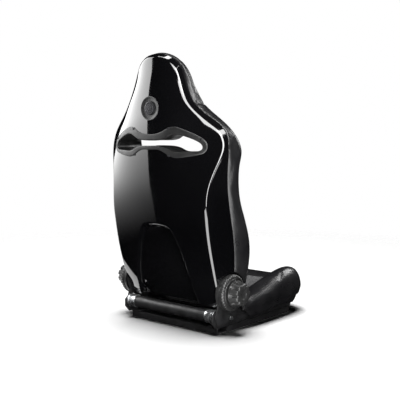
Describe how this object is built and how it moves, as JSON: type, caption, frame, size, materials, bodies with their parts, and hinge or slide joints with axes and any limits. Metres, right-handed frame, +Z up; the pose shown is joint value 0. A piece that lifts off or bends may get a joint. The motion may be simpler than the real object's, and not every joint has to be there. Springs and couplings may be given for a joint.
{
  "type": "reclining racing seat",
  "caption": "High-back reclining sport seat with gloss composite back shell, harness slot, padded bolsters, twin recliner knobs and sliding floor rails.",
  "frame": {"origin": "centre of the footprint, on the floor under the lower rails", "axes": "+Z up, the occupant faces -Y, +X is the occupant's left; the recline axis runs along X at y 0.173, z 0.141"},
  "size_m": [0.56, 0.6541, 0.942],
  "materials": {
    "gloss_shell": "gloss",
    "satin_steel": "satin",
    "zinc_steel": "satin",
    "matte_plastic": "matte",
    "leather": "satin",
    "insert_leather": "matte"
  },
  "bodies": {
    "floor_mount": {"lower_rail_left": "zinc_steel", "lower_rail_right": "zinc_steel", "floor_brace_rear": "satin_steel", "floor_brace_front": "satin_steel"},
    "seat_base": {"upper_rail_left": "zinc_steel", "upper_rail_right": "zinc_steel", "side_frame_left": "satin_steel", "side_frame_right": "satin_steel", "rear_cross_tube": "satin_steel", "rear_tube_collar_left": "zinc_steel", "rear_tube_collar_right": "zinc_steel", "front_cross_tube": "satin_steel", "seat_pan": "satin_steel", "recliner_bracket_left": "satin_steel", "recliner_bracket_right": "satin_steel", "recliner_cover_left": "matte_plastic", "recliner_cover_right": "matte_plastic", "cushion_centre": "insert_leather", "cushion_front": "leather", "cushion_bolster_left": "leather", "cushion_bolster_right": "leather", "front_frame_bolt_left": "zinc_steel", "front_frame_bolt_right": "zinc_steel", "rear_frame_bolt_left": "zinc_steel", "rear_frame_bolt_right": "zinc_steel"},
    "backrest": {"back_shell": "gloss_shell", "badge_ring": "satin_steel", "badge_disc": "gloss_shell", "back_pad_centre": "insert_leather", "back_bolster_left": "leather", "back_bolster_right": "leather", "headrest_pad": "leather", "slot_bezel_rear": "matte_plastic", "slot_bezel_front": "matte_plastic", "slot_liner": "matte_plastic", "bezel_screw_1": "zinc_steel", "bezel_screw_2": "zinc_steel", "bezel_screw_3": "zinc_steel", "bezel_screw_4": "zinc_steel", "bezel_screw_5": "zinc_steel", "bezel_screw_6": "zinc_steel", "backrest_frame": "satin_steel", "frame_cross_tube": "satin_steel", "recliner_arm_left": "satin_steel", "recliner_arm_right": "satin_steel", "recliner_gear_left": "zinc_steel", "recliner_gear_right": "zinc_steel"},
    "recliner_drive": {"recliner_knob_left": "matte_plastic", "recliner_knob_right": "matte_plastic", "recliner_sync_rod": "zinc_steel"},
    "release_lever": {"release_bar": "satin_steel"}
  },
  "joints": [
    {"name": "seat_slide", "type": "slide", "parent": "floor_mount", "child": "seat_base", "axis": [0, -1, 0], "range_m": [-0.07, 0.07]},
    {"name": "backrest_recline", "type": "hinge", "parent": "seat_base", "child": "backrest", "pos_m": [0, 0.173, 0.141], "axis": [-1, 0, 0], "range_deg": [-15, 45]},
    {"name": "knob_turn", "type": "hinge", "parent": "seat_base", "child": "recliner_drive", "pos_m": [0, 0.173, 0.141], "axis": [-1, 0, 0], "range_deg": [-450, 1350]},
    {"name": "release_lift", "type": "hinge", "parent": "seat_base", "child": "release_lever", "pos_m": [0, -0.127, 0.034], "axis": [-1, 0, 0], "range_deg": [0, 7], "stiffness_Nm_per_rad": 4, "springref_deg": -20.05}
  ],
  "couplings": [
    {"joint": "knob_turn", "follows": "backrest_recline", "ratio": 30}
  ]
}
